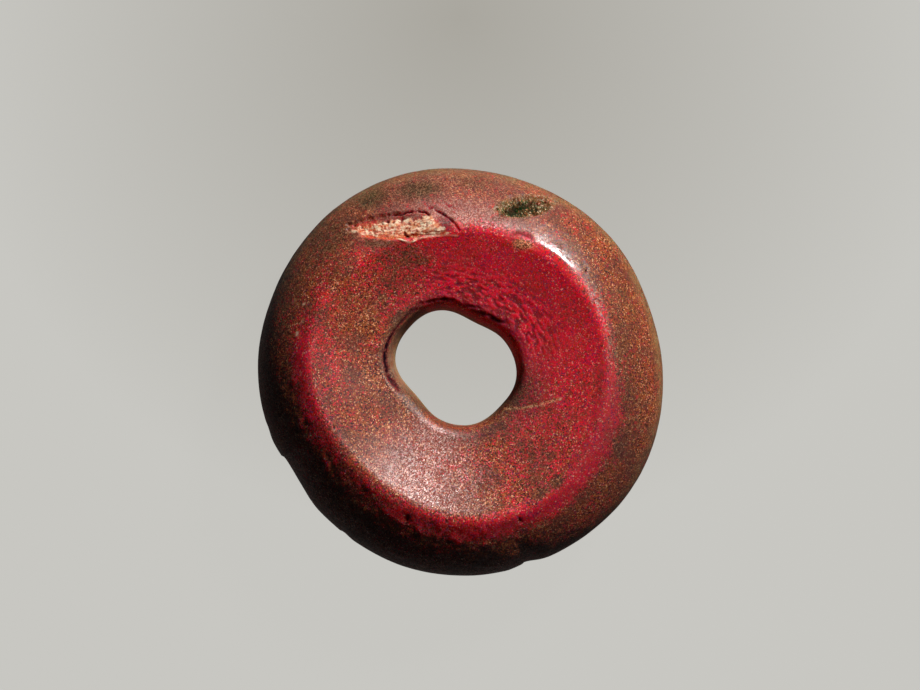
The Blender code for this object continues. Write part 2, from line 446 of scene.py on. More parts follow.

# Small pits: (x, y, radius, depth), all in millimetres; each is darkened with painted shade
PITS = (
    (-5.5, -15.0, 0.32, 0.30),
    (-1.4, -15.3, 0.22, 0.20),
    (6.1, -15.2, 0.34, 0.30),
    (12.9, 10.5, 0.18, 0.15),
    (-13.0, -5.6, 0.20, 0.15),
    (9.2, -10.0, 0.22, 0.10),
    (-15.6, -2.3, 0.22, 0.15),
    (-3.5, 15.2, 0.15, 0.20),
    (-7.5, 15.5, 0.20, 0.16),
    (-6.9, 15.4, 0.16, 0.16),
    (-10.2, 14.9, 0.15, 0.20),
    (-10.9, 15.1, 0.17, 0.20),
)

# Patches of the finish: (mask, strength, x, y, half length, half width, turn), lengths in millimetres. The
# patches that darken the colour, all but the olive, skin and scratch ones, are painted shade.
PATCHES = (
    ("olive", 0.9, -9.2, 17.9, 2.4, 1.3, 20),
    ("olive", 0.8, -4.3, 18.9, 3.2, 1.3, 5),
    ("olive", 0.9, -8.4, 13.2, 3.0, 0.7, 2),
    ("olive", 0.35, -6.0, 12.3, 4.6, 1.2, -5),
    ("olive", 0.6, -14.0, 13.2, 4.5, 2.0, 45),
    ("olive", 0.5, -17.8, 7.5, 4.5, 1.6, 68),
    ("olive", 0.5, 1.5, 19.6, 3.0, 1.0, -5),
    ("skin", 0.35, -9.6, 4.6, 1.6, 1.2, 60),
    ("skin", 0.40, -8.6, -0.9, 2.6, 1.3, 110),
    ("skin", 0.35, -5.8, -4.0, 2.2, 1.2, 140),
    ("skin", 0.50, 14.3, -5.4, 1.0, 0.8, 60),
    ("skin", 0.50, 10.1, -11.2, 1.2, 0.8, 40),
    ("skin", 0.50, 8.2, -12.5, 1.2, 0.7, 30),
    ("skin", 0.35, 2.0, -13.8, 2.6, 0.8, 10),
    ("skin", 0.80, 6.4, 13.1, 1.3, 0.7, -5),
    ("scratch", 0.8, 6.4, 13.1, 1.3, 0.65, -5),
    ("painted_shade", 0.25, -6.4, 7.6, 3.6, 3.0, 30),
    ("painted_shade", 0.55, -1.5, 15.3, 1.3, 0.9, -45),
    ("skin", 0.35, -5.5, 10.5, 3.2, 2.6, 30),
    ("olive", 0.30, -13.4, 10.6, 2.2, 1.4, 50),
    ("olive", 0.30, 9.0, -11.9, 2.2, 0.5, 35),
    ("painted_shade", 0.20, 8.5, -7.0, 7.0, 4.5, 50),
    ("skin", 0.45, -12.4, 10.0, 2.4, 1.4, 50),
    ("olive", 0.35, -0.6, -6.7, 1.6, 0.6, 0),
    ("olive", 0.30, -7.9, 13.0, 2.4, 0.5, 0),
    ("skin", 0.12, -9.5, 11.2, 3.0, 2.0, 30),
    ("skin", -0.18, -13.6, 2.5, 1.4, 4.5, 10),
    ("skin", 0.22, -10.5, 6.5, 4.5, 3.5, 60),
)

# Small breaks in the outline: (direction, degrees before and after it that they reach, depth in millimetres)
NICKS = ((206.0, 0.8, 9, 0.16), (233.6, 0.7, 4, 0.12), (288.0, 0.7, 5, 0.14), (196, 2, 4, 0.06))

# Masks of the finish. The one for cracks is painted shade, in hollows and on sides away from the light; the
# pink one is a painted sheen; the ochre one is partly painted light, stronger on the lit side of the outer
# edge.
MASKS = ("skin", "painted_sheen", "olive", "ochre_and_painted_light", "craze", "fracture", "scratch")
MASKS += ("ember", "painted_shade", "polish", "glint", "moss", "dry")


class Surface:
    """The ring's points in plan and round it, how far each moves outwards, and the masks of its finish."""

    def __init__(self, points, normals, radius, angle, on_top, shape):
        self.points = points
        self.normals = normals
        self.radius = radius
        self.angle = angle
        self.out = radius / shape.shoulder
        self.on_top = on_top
        self.in_eye = ~on_top & (radius < shape.front_mouth + 0.01 * MM)
        self.move = np.zeros(len(points))
        self.masks = {name: np.zeros(len(points)) for name in MASKS}

    def settle(self, relief):
        """Moves the points outwards as asked so far."""
        self.points += self.normals * (relief * self.move)[:, None]
        self.move[:] = 0

    def lift(self, name, values):
        self.masks[name] = np.maximum(self.masks[name], values)

    def distance_to(self, x, y, half_length=1, half_width=1, turn=0):
        """Distance from a place in millimetres, counted in half lengths and half widths of an oval."""
        dx = self.points[:, 0] / MM - x
        dy = self.points[:, 1] / MM - y
        cos, sin = math.cos(math.radians(turn)), math.sin(math.radians(turn))
        return np.hypot((dx * cos + dy * sin) / half_length, (dy * cos - dx * sin) / half_width)


def near_eye(surface):
    return 1 - ramp(surface.radius, 6.6 * MM, 8.0 * MM)


def wear_skin(surface):
    """Gentle waves all over, and a skin that is thick on the rim and rubbed off the shoulder."""
    points, angle, out = surface.points, surface.angle, surface.out
    surface.move += 0.05 * MM * lumps(points, 6 * MM, 1) + 0.018 * MM * lumps(points, 1.8 * MM, 2)
    surface.move -= 0.04 * MM * sector(angle, 52, 0, 40) * hump(out, 0.995, 0.04)
    rim = ramp(out + 0.06 * sector(angle, 50, 50, 100), 1.03, 1.17)
    face_skin = 0.52 + 0.42 * np.cos(angle - math.radians(232))
    rim_skin = 0.88 - 0.06 * np.cos(angle - math.radians(240))
    skin = face_skin + (rim_skin - face_skin) * rim
    rubbed = ramp(np.abs(turn_from(angle, 80)), 70, 100) * hump(out, 1.055, 0.13)
    rubbed *= 1 - 0.5 * sector(angle, 222, 0, 34)
    rubbed = np.maximum(rubbed, sector(angle, 278, 0, 34) * hump(out, 1.09, 0.10))
    skin += 0.16 * lumps(points, 4 * MM, 3) + 0.14 * lumps(points, 1.2 * MM, 4) - 0.7 * rubbed
    for name, strength, *place in PATCHES:
        patch = surface.on_top * (1 - ramp(surface.distance_to(*place), 0.3, 1.2))
        if name == "skin":
            skin += strength * patch
        else:
            surface.lift(name, strength * patch)
    eye_left = near_eye(surface) * sector(angle, 175, 42, 65)
    eye_right = near_eye(surface) * sector(angle, 325, 0, 50)
    surface.masks["skin"] = skin + 0.6 * eye_left + 0.5 * eye_right
    surface.lift("olive", 0.6 * eye_left)
    paint_shade_places(surface, rubbed)
    stain_and_paint_light(surface)
    shine_places(surface)


def paint_shade_places(surface, rubbed):
    """Painted shade on the bare ridge away from the light, on the left of the face, on the ground round and
    below the eye, where olive skin is laid too, and on the lower right.
    """
    angle, out = surface.angle, surface.out
    surface.lift("painted_shade", 0.40 * rubbed * ramp(np.abs(turn_from(angle, 165)), 95, 125))
    surface.lift("painted_shade", 0.30 * sector(angle, 185, 0, 50) * ramp(out, 0.7, 1.0))
    surface.lift("painted_shade", 0.35 * sector(angle, 20, 85, 120) * hump(surface.radius, 7.3 * MM, 1.1 * MM))
    # Painted shade below the eye, with olive skin laid there as well
    below_eye = sector(angle, 338, 0, 55) * (1 - ramp(surface.radius, 6.9 * MM, 12.0 * MM))
    surface.lift("painted_shade", 0.55 * below_eye)
    surface.lift("olive", 0.4 * below_eye)
    low_right = sector(angle, 335, 0, 65) * ramp(out, 0.88, 1.0) * (1 - ramp(out, 1.15, 1.3))
    surface.lift("painted_shade", 0.46 * low_right)
    surface.lift("painted_shade", 0.38 * sector(angle, 315, 0, 60) * ramp(out, 1.12, 1.22))
    surface.lift("painted_shade", 0.35 * sector(angle, 290, 0, 24) * hump(out, 1.03, 0.08))


def stain_and_paint_light(surface):
    """Ochre in the eye, and on the outer edge where it is made stronger towards the key light as painted
    light; a painted pink sheen on the rim at the top and on the face below; and olive on the right.
    """
    points, angle, out = surface.points, surface.angle, surface.out
    # Painted light: the pale ochre of the outer edge is stronger on the side towards the key light and
    # higher up
    lit_edge = ramp(out + 0.02 * lumps(points, 2 * MM, 18), 1.31, 1.385)
    lit_edge *= 1 - 0.6 * ramp(np.abs(turn_from(angle, 60)), 60, 110)
    lit_edge *= (0.5 + 0.5 * ramp(points[:, 2], 0, 6 * MM)) * (0.8 + 0.5 * lumps(points, 3 * MM, 17))
    surface.lift("ochre_and_painted_light", 0.6 * lit_edge)
    band_width = (2.6 + 1.4 * sector(angle, 315, 0, 50)) * MM
    surface.lift("ochre_and_painted_light", surface.in_eye * 0.75 * hump(points[:, 2], 6.2 * MM, band_width))
    pale_wall = sector(angle, 180, 0, 40) * (1 - ramp(surface.radius, 6.2 * MM, 6.5 * MM))
    surface.lift("fracture", 0.15 * pale_wall)
    on_rim = ramp(out, 1.0, 1.05)
    # Painted sheen: pink on the rim at the top and on the face at the lower left, where the key light's
    # sheen falls
    painted_sheen_rim = sector(angle, 90, 0, 52) * on_rim * (1 - 0.7 * ramp(out, 1.08, 1.25))
    painted_sheen_face = sector(angle, 250, 0, 44) * ramp(surface.radius, 6.3 * MM, 7.2 * MM)
    painted_sheen_face *= 1 - ramp(out, 0.92, 1.0)
    surface.lift("painted_sheen", np.maximum(0.55 * painted_sheen_rim, 0.42 * painted_sheen_face))
    right_rim = on_rim * sector(angle, 25, 45, 75) * (1 - ramp(out, 1.25, 1.32))
    surface.lift("olive", right_rim * (0.16 + 0.3 * ramp(lumps(points, 2.4 * MM, 19), -0.1, 0.5)))


def shine_places(surface):
    """Smooth on the lit part of the ridge, dull at the ridge's ends, on the left, by the eye and in it."""
    angle, out = surface.angle, surface.out
    lit_ridge = sector(angle, 51, 3, 13) * hump(out, 1.05, 0.08)
    surface.lift("polish", np.clip(1.8 * lit_ridge, 0, 1))
    on_face = ramp(surface.radius, 7 * MM, 9 * MM) * (1 - ramp(out, 0.92, 1.0))
    dull_face = sector(angle, 203, 0, 48) * on_face
    dull_rim = sector(angle, 45, 30, 70) * ramp(out, 1.06, 1.10)
    surface.lift("glint", 1 - 0.7 * np.maximum(np.maximum(dull_face, dull_rim), surface.in_eye))
    lit_lip = sector(angle, 250, 0, 50)
    surface.lift("dry", np.maximum(0.7 * near_eye(surface) * (1 - 0.8 * lit_lip), 0.6 * dull_face))
    worn_ridge = sector(angle, 68, 0, 16) + sector(angle, 38, 0, 10)
    surface.lift("dry", 0.5 * worn_ridge * hump(out, 1.03, 0.09))


def roughen_rim(surface):
    """The rim's leathery scales, with painted shade in their edges, and beads of bare amber outside the
    ridge where the light grazes it.
    """
    low_side = sector(surface.angle, 232, 25, 60)
    zone = ramp(surface.out + 0.06 * low_side, 0.99, 1.10) * surface.on_top
    near = zone > 0.01
    scales = np.zeros(len(zone))
    flat = surface.points[near] + 0.0003 * lumps(surface.points[near], 1.5 * MM, 11)[:, None]
    scales[near] = ramp(cell_edges(flat, 0.95 * MM, 12), 0.0, 0.5)
    fine = np.zeros(len(zone))
    fine[near] = lumps(surface.points[near], 0.5 * MM, 13)
    low = 0.45 + 0.55 * sector(surface.angle, 250, 0, 110)
    surface.move += zone * low * (0.045 * (scales - 1) + 0.016 * fine) * MM
    # Painted shade in the sunk edges of the scales
    surface.lift("painted_shade", 0.25 * zone * low * (1 - scales))
    beads = np.zeros(len(zone))
    beads[near] = ramp(lumps(surface.points[near], 0.9 * MM, 16, 1), 0.25, 0.55)
    beads *= hump(surface.out, 1.13, 0.15) * sector(surface.angle, 238, 45, 70)
    surface.move += 0.10 * MM * beads
    surface.masks["skin"] -= 0.7 * beads


def nick_outline(surface):
    """Short breaks that step in sharply and come out slowly."""
    girth = ramp(surface.out, 1.15, 1.33)
    for direction, before, after, depth in NICKS:
        turn = turn_from(surface.angle, direction)
        step = ramp(turn, -before, 0) * (1 - ramp(turn, 0, after))
        surface.move -= depth * MM * step * girth


def craze_face(surface):
    """Small scales with sunk edges, drawn out round the eye, on the upper right of the face, with painted
    shade in the sunk parts.
    """
    zone = sector(surface.angle, 60, 34, 66)
    zone *= ramp(surface.radius, 6.2 * MM, 7.4 * MM) * (1 - ramp(surface.radius, 9.0 * MM, 13.2 * MM))
    zone = np.where(surface.on_top, zone, 0)
    near = zone > 0.01
    round_eye = surface.angle[near] * surface.radius[near].mean() / 2.7
    flat = np.stack([round_eye, surface.radius[near], np.zeros(near.sum())], axis=1)
    streaks = lumps(flat, 0.36 * MM, 14)
    flat += 0.0002 * lumps(surface.points[near], 0.8 * MM, 5)[:, None]
    raised = np.zeros(len(zone))
    raised[near] = 0.5 * ramp(cell_edges(flat, 0.42 * MM, 6), 0.0, 0.7) + 0.9 * streaks - 0.25
    surface.move += 0.075 * MM * zone * np.clip(raised, -0.6, 0.6)
    surface.masks["craze"] = zone * ramp(raised, 0.0, 0.4)
    # Painted shade in the sunk parts between the scales
    surface.lift("painted_shade", 0.6 * zone * ramp(-raised, 0.0, 0.4))
    surface.masks["skin"] -= 0.30 * zone


def chip_depth(surface, chip, raggedness, seed, end=None):
    """How deep each point is in a chip, from 0 at its ragged edge to 1."""
    share = np.where(surface.on_top, chip_share(surface.points, chip), -1)
    if end:
        share = np.minimum(share, 0.8 * short_of(surface.points, end))
    near = share > -0.5
    inside = np.zeros(len(share))
    inside[near] = np.clip(share[near] + raggedness * lumps(surface.points[near], 0.9 * MM, seed), 0, 1)
    hollow = np.sqrt(np.clip(1 - (1 - inside) ** 2, 0, 1))
    if end:
        hollow *= ramp(short_of(surface.points, end), -0.2, 3.0)
    surface.move -= chip[4] * hollow
    return inside


def short_of(points, line):
    """How far each point lies on the inner side of a straight line, in millimetres."""
    (x, y), (end_x, end_y) = line
    length = math.hypot(end_x - x, end_y - y)
    return ((points[:, 0] / MM - x) * (end_y - y) - (points[:, 1] / MM - y) * (end_x - x)) / length


def break_pale_chip(surface):
    """A long hollow filled with pale crumbs in thin layers, with clear red amber along its lower side, and
    painted shade on its upper side and in the rifts between the layers.
    """
    inside = chip_depth(surface, PALE_CHIP, 0.14, 7, CHIP_END)
    edge = ramp(inside, 0.0, 0.18)
    near = chip_share(surface.points, PALE_CHIP) > -0.6
    uneven, strands = np.zeros(len(edge)), np.zeros(len(edge))
    uneven[near] = lumps(surface.points[near], 0.6 * MM, 8, 2)
    strands[near] = lumps(surface.points[near] * (0.3, 1, 1), 0.30 * MM, 15, 2)
    crumbs = np.zeros(len(edge))
    for x, y, half_length, half_width, height in PALE_CRUMBS:
        away = surface.distance_to(x, y, half_length, half_width, 4) / 1.2 + 0.35 * uneven + 0.3 * strands
        crumbs = np.maximum(crumbs, height * np.clip(1.6 * (1 - away), 0, 1) ** 0.35)
    distance = stroke_distance(surface.points, PALE_BED)[0]
    bed = 0.36 * (1 - ramp(distance + 0.25 * MM * uneven, 0.36 * MM, 0.62 * MM))
    crumbs = np.where(surface.on_top, np.maximum(crumbs, bed), 0)
    arcs = np.minimum(*(surface.distance_to(*middle) for middle in LAYER_ARCS))
    layer = 1.4 * arcs + 0.3 * uneven + 0.8 * strands
    steps = np.clip(3 - np.floor(layer), 0, 3)
    room = 0.3 + 0.7 * ramp(short_of(surface.points, CHIP_END), -0.2, 3.0)
    surface.move += np.where(crumbs > 0, room * (0.42 * crumbs + 0.12 * steps), 0) * MM
    surface.move = np.where(crumbs > 0, np.minimum(surface.move, 0.06 * MM), surface.move)
    pale = ramp(crumbs, 0.04, 0.14)
    distance, share = stroke_distance(surface.points, PALE_LIP)
    lip = surface.on_top * (1 - ramp(distance, 0.05 * MM, 0.16 * MM))
    lip *= 0.7 + 0.3 * np.sin(27 * share)
    lip *= 1 - 0.6 * ramp(share, 0.35, 0.6)
    surface.move += 0.12 * MM * lip
    rift = 0.8 * (1 - ramp(np.abs(layer - np.round(layer)), 0.08, 0.25))
    pale *= 1 - rift
    surface.lift("fracture", np.maximum(pale, lip))
    above = ramp(surface.points[:, 1], 15.3 * MM, 16.0 * MM)
    surface.lift("ember", edge * (1 - pale) * (1 - 0.8 * above))
    # Painted shade on the chip's upper side, away from the light, and in the rifts
    surface.lift("painted_shade", 0.3 * edge * ((1 - pale) * above + rift * np.sign(crumbs)))
    surface.lift("dry", edge)
    surface.masks["skin"] = surface.masks["skin"] * (1 - edge) + 0.7 * edge * above


def break_dark_chip(surface):
    """A pointed hollow, greenish and darkened with painted shade at its bottom, with crumbs of skin round
    it.
    """
    inside = chip_depth(surface, DARK_CHIP, 0.35, 9)
    share = np.where(surface.on_top, chip_share(surface.points, DARK_CHIP), -1)
    near = share > -0.9
    crumbs = np.zeros(len(share))
    crumbs[near] = ramp(cell_edges(surface.points[near], 0.42 * MM, 10), 0.05, 0.5)
    surface.move += 0.26 * MM * crumbs * ramp(share, -0.3, 0.3)
    surface.lift("moss", ramp(share, -0.3, 0.15) * (0.5 + 0.5 * crumbs))
    # Painted shade in the bottom of the hollow, less on the crumbs
    surface.lift("painted_shade", ramp(inside, 0.06, 0.36) * (0.95 - 0.55 * crumbs))
    surface.lift("dry", ramp(share, -0.4, 0.0))


def cut_grooves(surface):
    for half_width, depth, darkness, line in GROOVES:
        distance, share = stroke_distance(surface.points, line)
        near = distance < 2 * half_width * MM
        ragged = np.zeros(len(near))
        ragged[near] = lumps(surface.points[near], 0.5 * MM, 20)
        distance += 0.35 * half_width * MM * ragged
        cut = surface.on_top * (1 - ramp(distance, 0.3 * half_width * MM, half_width * MM))
        cut *= np.clip(4 * share * (1 - share), 0, 1) ** 0.4
        cut *= 1 - 0.4 * ramp(ragged, 0.0, 0.6)
        surface.move -= cut * depth * MM
        # Painted shade in the groove
        surface.lift("painted_shade", cut * darkness)
        surface.masks["skin"] *= 1 - cut


def cut_scratches(surface):
    for half_width, depth, paleness, line in SCRATCHES:
        distance = stroke_distance(surface.points, line)[0]
        cut = surface.on_top * (1 - ramp(distance, 0, half_width * MM))
        surface.move -= cut * depth * MM
        surface.lift("scratch", paleness * np.clip(1.6 * cut, 0, 1))


def add_spots(surface):
    for x, y, size in CRUMBS:
        spot = surface.on_top * hump(surface.distance_to(x, y, size, size), 0, 1)
        surface.move += 0.4 * size * MM * spot
        surface.lift("fracture", np.clip(1.6 * spot, 0, 1))
    for x, y, size, depth in PITS:
        spot = surface.on_top * hump(surface.distance_to(x, y, size, size), 0, 1)
        surface.move -= depth * MM * spot
        # Painted shade in the pit
        surface.lift("painted_shade", np.clip(1.5 * spot, 0, 1))


def spun(profile, steps):
    """The profile of (radius, height) points turned once round the axis."""
    bm = bmesh.new()
    corners = [bm.verts.new((x, 0, z)) for x, z in profile]
    edges = [bm.edges.new(pair) for pair in zip(corners, corners[1:])]
    if profile[0][0] > 0:
        edges.append(bm.edges.new((corners[-1], corners[0])))
    bmesh.ops.spin(
        bm, geom=edges, cent=(0, 0, 0), axis=(0, 0, 1), angle=math.tau, steps=steps, use_merge=True
    )
    return bm


def finished(bm, name):
    mesh = bpy.data.meshes.new(name)
    bm.to_mesh(mesh)
    bm.free()
    return mesh


def round_ring(shape):
    """The plain round ring, with finer faces where the relief is finest."""
    bm = spun(shape.section(), ROUND_STEPS)
    bmesh.ops.recalc_face_normals(bm, faces=bm.faces)
    refine(bm, in_craze_zone, 1)
    refine(bm, lambda co: in_chip_zone(co, PALE_CHIP), 2)
    refine(bm, lambda co: in_chip_zone(co, DARK_CHIP), 2)
    return finished(bm, "amber_ring")


def make_ring(settings):
    shape = RingShape(settings)
    mesh = round_ring(shape)
    points = read_vectors(mesh.vertices, "co")
    radius = np.hypot(points[:, 0], points[:, 1])
    angle = np.arctan2(points[:, 1], points[:, 0])
    upper = points[:, 2] > GIRTH_HEIGHT
    top = upper & (radius > shape.lip_end)
    points[top, 2] = shape.top_height(radius[top])
    way = np.stack([np.cos(angle), np.sin(angle), np.zeros(len(angle))], axis=1)
    points += way * shape.shift_at(angle, radius, points[:, 2])[:, None] - shape.outline_middle()
    write_vectors(mesh, points)
    normals = read_vectors(mesh.vertex_normals, "vector")
    surface = Surface(points, normals, radius, angle, upper & (radius > shape.front_mouth), shape)
    for work in (
        wear_skin,
        roughen_rim,
        nick_outline,
        craze_face,
        break_pale_chip,
        break_dark_chip,
        cut_grooves,
        cut_scratches,
        add_spots,
    ):
        work(surface)
        surface.settle(settings.relief)
    points[:, 2] = np.clip(points[:, 2], 0, None)
    write_vectors(mesh, points)
    for name, values in surface.masks.items():
        values = np.clip(values, 0, 1).astype(np.float32)
        mesh.attributes.new(name, "FLOAT", "POINT").data.foreach_set("value", values)
    mesh.shade_smooth()
    ring = bpy.data.objects.new("amber_ring", mesh)
    bpy.context.scene.collection.objects.link(ring)
    return ring


def refine(bm, wanted, cuts):
    """Cuts each edge of the faces that lie where wanted says into smaller ones."""
    inside = {vertex for vertex in bm.verts if wanted(vertex.co)}
    edges = [edge for edge in bm.edges if edge.verts[0] in inside and edge.verts[1] in inside]
    bmesh.ops.subdivide_edges(bm, edges=edges, cuts=cuts, use_grid_fill=True)


def in_craze_zone(co):
    if co.z < GIRTH_HEIGHT:
        return False
    radius = math.hypot(co.x, co.y)
    turn = math.degrees(math.atan2(co.y, co.x))
    return 6.2 * MM < radius < 12.8 * MM and 0 < turn < 124


def in_chip_zone(co, chip):
    if co.z < GIRTH_HEIGHT:
        return False
    return chip_share(np.array([co]), chip)[0] > -0.35


def read_vectors(items, name):
    flat = np.empty(len(items) * 3)
    items.foreach_get(name, flat)
    return flat.reshape(-1, 3)


def write_vectors(mesh, points):
    mesh.vertices.foreach_set("co", points.ravel())
    mesh.update()


def add(tree, kind, inputs=None, output=None, **settings):
    """Adds a node with its settings, fills or links its inputs, and returns one of its outputs."""
    node = tree.nodes.new("ShaderNode" + kind)
    for name, value in settings.items():
        setattr(node, name, value)
    for key, value in (inputs or {}).items():
        if isinstance(key, int):
            socket = node.inputs[key]
        else:
            socket = next(each for each in node.inputs if each.enabled and each.name == key)
        if isinstance(value, bpy.types.NodeSocket):
            tree.links.new(value, socket)
        else:
            socket.default_value = value
    if output:
        return node.outputs[output]
    return next((each for each in node.outputs if each.enabled), None)


def per(size_mm):
    """Pattern scale that makes one step of the pattern this many millimetres."""
    return 1 / (size_mm * MM)


def overlaid(tree, base, layers, kind="RGBA"):
    """Lays each (share, value) over the base in turn."""
    for share, value in layers:
        base = add(tree, "Mix", {"Factor": share, "A": base, "B": value}, data_type=kind)
    return base


def lowest(tree, values, share):
    """1 on this share of the grains, those with the lowest values."""
    limits = {"From Min": share + GRAIN_EDGE, "From Max": share - GRAIN_EDGE}
    return add(tree, "MapRange", {"Value": values, **limits})


def highest(tree, values, share):
    """1 on this share of the grains, those with the highest values."""
    limits = {"From Min": 1 - share - GRAIN_EDGE, "From Max": 1 - share + GRAIN_EDGE}
    return add(tree, "MapRange", {"Value": values, **limits})


def weathered_amber(settings):
    """Amber, a fossil resin, ground and rubbed smooth, with a dry skin of ochre grains over clear red."""
    material = bpy.data.materials.new("weathered_amber")
    material.use_nodes = True
    tree = material.node_tree
    shader = tree.nodes["Principled BSDF"]
    where = add(tree, "TexCoord", output="Object")
    mask = {name: add(tree, "Attribute", output="Fac", attribute_name=name) for name in MASKS}
    grains = add(tree, "TexVoronoi", {"Vector": where, "Scale": per(GRAIN_SIZE)}, output="Color")
    grain = add(tree, "SeparateColor", {"Color": grains}).node.outputs
    cluster = add(tree, "TexNoise", {"Vector": where, "Scale": per(0.5), "Detail": 2.0})
    blotch = add(tree, "TexNoise", {"Vector": where, "Scale": per(2.6), "Detail": 3.0})

    # The skin covers more of the surface where its mask is higher, grain by grain
    clustered = add(tree, "MapRange", {"Value": cluster, "From Min": 0.35, "From Max": 0.65})
    bare = add(tree, "Mix", {"Factor": 0.3, "A": grain[0], "B": clustered}, data_type="FLOAT")
    cover = add(tree, "Math", {0: mask["skin"], 1: bare}, operation="SUBTRACT")
    crust = add(tree, "MapRange", {"Value": cover, "From Min": -0.22, "From Max": 0.18})
    crust = add(tree, "Math", {0: crust, 1: mask["olive"]}, operation="MAXIMUM")
    # The ochre mask also holds painted light on the lit side of the outer edge
    crust = add(tree, "Math", {0: crust, 1: mask["ochre_and_painted_light"]}, operation="MAXIMUM")

    body = amber_body(tree, settings, mask, grain, blotch)
    skin = amber_skin(tree, settings, mask, grain, blotch, cluster)
    colour = broken_places(tree, settings, mask, grain, where, overlaid(tree, body, [(crust, skin)]))
    tree.links.new(colour, shader.inputs["Base Color"])

    # Dull where the skin is dry, smooth on the rubbed ridge
    dull = add(tree, "MapRange", {"Value": grain[1], "To Min": 0.24, "To Max": 0.42})
    dulling = {"polish": 0.18, "dry": 0.75, "painted_shade": 0.9, "fracture": 0.7}
    dull = overlaid(tree, dull, [(mask[name], value) for name, value in dulling.items()], "FLOAT")
    tree.links.new(dull, shader.inputs["Roughness"])
    sheen = add(tree, "MapRange", {"Value": mask["glint"], "To Min": 0.1, "To Max": 0.5})
    # Little sheen where shade is painted, so that it stays dark
    sheen = overlaid(tree, sheen, [(mask["painted_shade"], 0.05)], "FLOAT")
    tree.links.new(sheen, shader.inputs["Specular IOR Level"])

    # Each grain lies at a slant of its own, so that single grains flash in the sheen
    slant = add(tree, "VectorMath", {0: grains, 1: (0.5, 0.5, 0.5)}, operation="SUBTRACT")
    rough = add(tree, "Math", {0: mask["glint"], 1: mask["polish"]}, operation="SUBTRACT")
    steepness = add(tree, "MapRange", {"Value": rough, "To Max": 0.32})
    slant = add(tree, "VectorMath", {"Vector": slant, "Scale": steepness}, operation="SCALE")
    bump = add(tree, "Bump", {"Height": cluster, "Strength": 0.6, "Distance": 0.05 * MM})
    facing = add(tree, "VectorMath", {0: bump, 1: slant}, operation="ADD")
    tree.links.new(add(tree, "VectorMath", {0: facing}, operation="NORMALIZE"), shader.inputs["Normal"])

    # Light goes deep into the bare amber, less far under the skin and hardly into a fresh break
    clear = add(tree, "MapRange", {"Value": crust, "To Min": 1.0, "To Max": 0.35})
    clear = overlaid(tree, clear, [(mask["fracture"], 0.1)], "FLOAT")
    tree.links.new(clear, shader.inputs["Subsurface Weight"])
    shader.subsurface_method = "RANDOM_WALK"
    shader.inputs["Subsurface Radius"].default_value = LIGHT_REACH
    shader.inputs["Subsurface Scale"].default_value = LIGHT_DEPTH
    shader.inputs["IOR"].default_value = AMBER_IOR
    return material


def amber_body(tree, settings, mask, grain, blotch):
    """Bare amber, from crimson to orange red, with purple and pink grains."""
    redder = add(tree, "MapRange", {"Value": blotch, "From Min": 0.42, "From Max": 0.62, "To Max": 0.3})
    layers = (
        (highest(tree, grain[1], 0.25), linear("#D0143C")),
        (highest(tree, grain[2], 0.16), linear("#8A2258")),
        (lowest(tree, grain[1], 0.16), linear("#E0522A")),
        (lowest(tree, grain[2], 0.06), linear("#FFA890")),
        (redder, linear("#D24424")),
        (mask["craze"], linear("#F42040")),
    )
    return overlaid(tree, settings.amber, layers)


def amber_skin(tree, settings, mask, grain, blotch, cluster):
    """Dry ochre skin with umber, mauve and pale grains, and the colours its masks lay: the pink of a painted
    sheen, olive, and a pale ochre that is also painted light on the lit side of the outer edge.
    """
    umber = add(tree, "MapRange", {"Value": blotch, "From Min": 0.44, "From Max": 0.62, "To Max": 0.55})
    dark = add(tree, "MapRange", {"Value": cluster, "From Min": 0.52, "From Max": 0.66, "To Max": 0.45})
    # Pink of the painted sheen, with paler grains
    painted_sheen = overlaid(tree, linear("#C0766A"), [(highest(tree, grain[1], 0.4), linear("#F4BCB4"))])
    olive = overlaid(tree, linear("#3A3220"), [(highest(tree, grain[1], 0.4), linear("#7A5A3C"))])
    ochre_and_painted_light = overlaid(tree, linear("#7E6034"), [(highest(tree, grain[1], 0.5), linear("#BC9460"))])
    layers = (
        (highest(tree, grain[1], 0.35), linear("#B4602C")),
        (highest(tree, grain[2], 0.30), settings.umber),
        (lowest(tree, grain[1], 0.24), linear("#943A3E")),
        (lowest(tree, grain[2], 0.07), linear("#F0AE80")),
        (umber, linear("#5C3830")),
        (dark, linear("#4A3028")),
        (mask["painted_sheen"], painted_sheen),
        (mask["olive"], olive),
        (mask["ochre_and_painted_light"], ochre_and_painted_light),
    )
    return overlaid(tree, settings.crust, layers)


